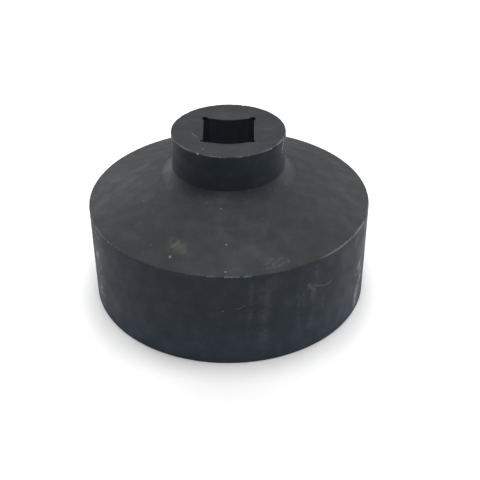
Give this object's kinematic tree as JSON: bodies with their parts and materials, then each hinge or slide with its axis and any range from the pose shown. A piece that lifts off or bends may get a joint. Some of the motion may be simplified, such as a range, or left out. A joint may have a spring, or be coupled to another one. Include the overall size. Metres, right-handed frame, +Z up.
{
  "type": "oil filter wrench",
  "caption": "Heavy steel cap wrench for spin-on oil filters: a fluted cup under a conical shoulder, driven by a square socket in its neck.",
  "frame": {"origin": "centre of the cup's mouth rim, in the plane that the wrench stands on", "axes": "+Z up along the turning axis, from the cup's mouth to the drive square; the drive square's walls face X and Y, and one grip flat is centred on +X"},
  "size_m": [0.109, 0.109, 0.068],
  "materials": {
    "hub_steel": "black oxide, satin, worn bright on its edges",
    "cone_steel": "black oxide, satin, fine grain with light scuffs",
    "skirt_steel": "black oxide, satin, fine grain with dried oil streaks",
    "root_weld_steel": "dressed weld, black oxide, satin",
    "shoulder_weld_steel": "dressed weld, black oxide, worn along the corner",
    "inner_weld_steel": "undressed weld bead, black oxide, rough"
  },
  "bodies": {
    "root": {"drive_hub": "hub_steel", "shoulder_cone": "cone_steel", "skirt_ring": "skirt_steel", "hub_root_weld": "root_weld_steel", "shoulder_weld": "shoulder_weld_steel", "hub_inner_weld": "inner_weld_steel"}
  },
  "joints": []
}
